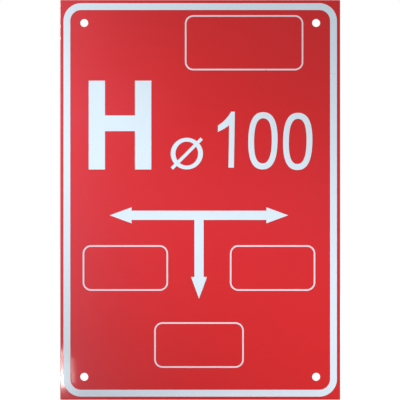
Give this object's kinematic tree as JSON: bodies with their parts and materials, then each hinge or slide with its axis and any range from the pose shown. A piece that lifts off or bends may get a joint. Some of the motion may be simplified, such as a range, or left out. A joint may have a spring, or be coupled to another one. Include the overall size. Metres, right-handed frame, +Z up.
{
  "type": "fire hydrant marker plate",
  "caption": "Upright rectangular painted sheet with corner fixing holes, a border band, a letter and a number, a T-shaped arrow and empty boxes.",
  "frame": {"origin": "centre of the four fixing holes, on the back face that lies on the wall", "axes": "+Z up as the plate hangs, +X to the right as the front is seen, front faces -Y, back face in the plane Y = 0"},
  "size_m": [0.14, 0.0016, 0.2],
  "materials": {
    "red_paint": "glossy red powder coat on steel sheet",
    "white_film": "satin white self-adhesive film"
  },
  "bodies": {
    "root": {"plate": "red_paint", "border_band": "white_film", "letter_h": "white_film", "diameter_sign": "white_film", "digit_one": "white_film", "digit_zero_middle": "white_film", "digit_zero_right": "white_film", "direction_arrow": "white_film", "number_box_top": "white_film", "number_box_left": "white_film", "number_box_right": "white_film", "number_box_bottom": "white_film"}
  },
  "joints": []
}
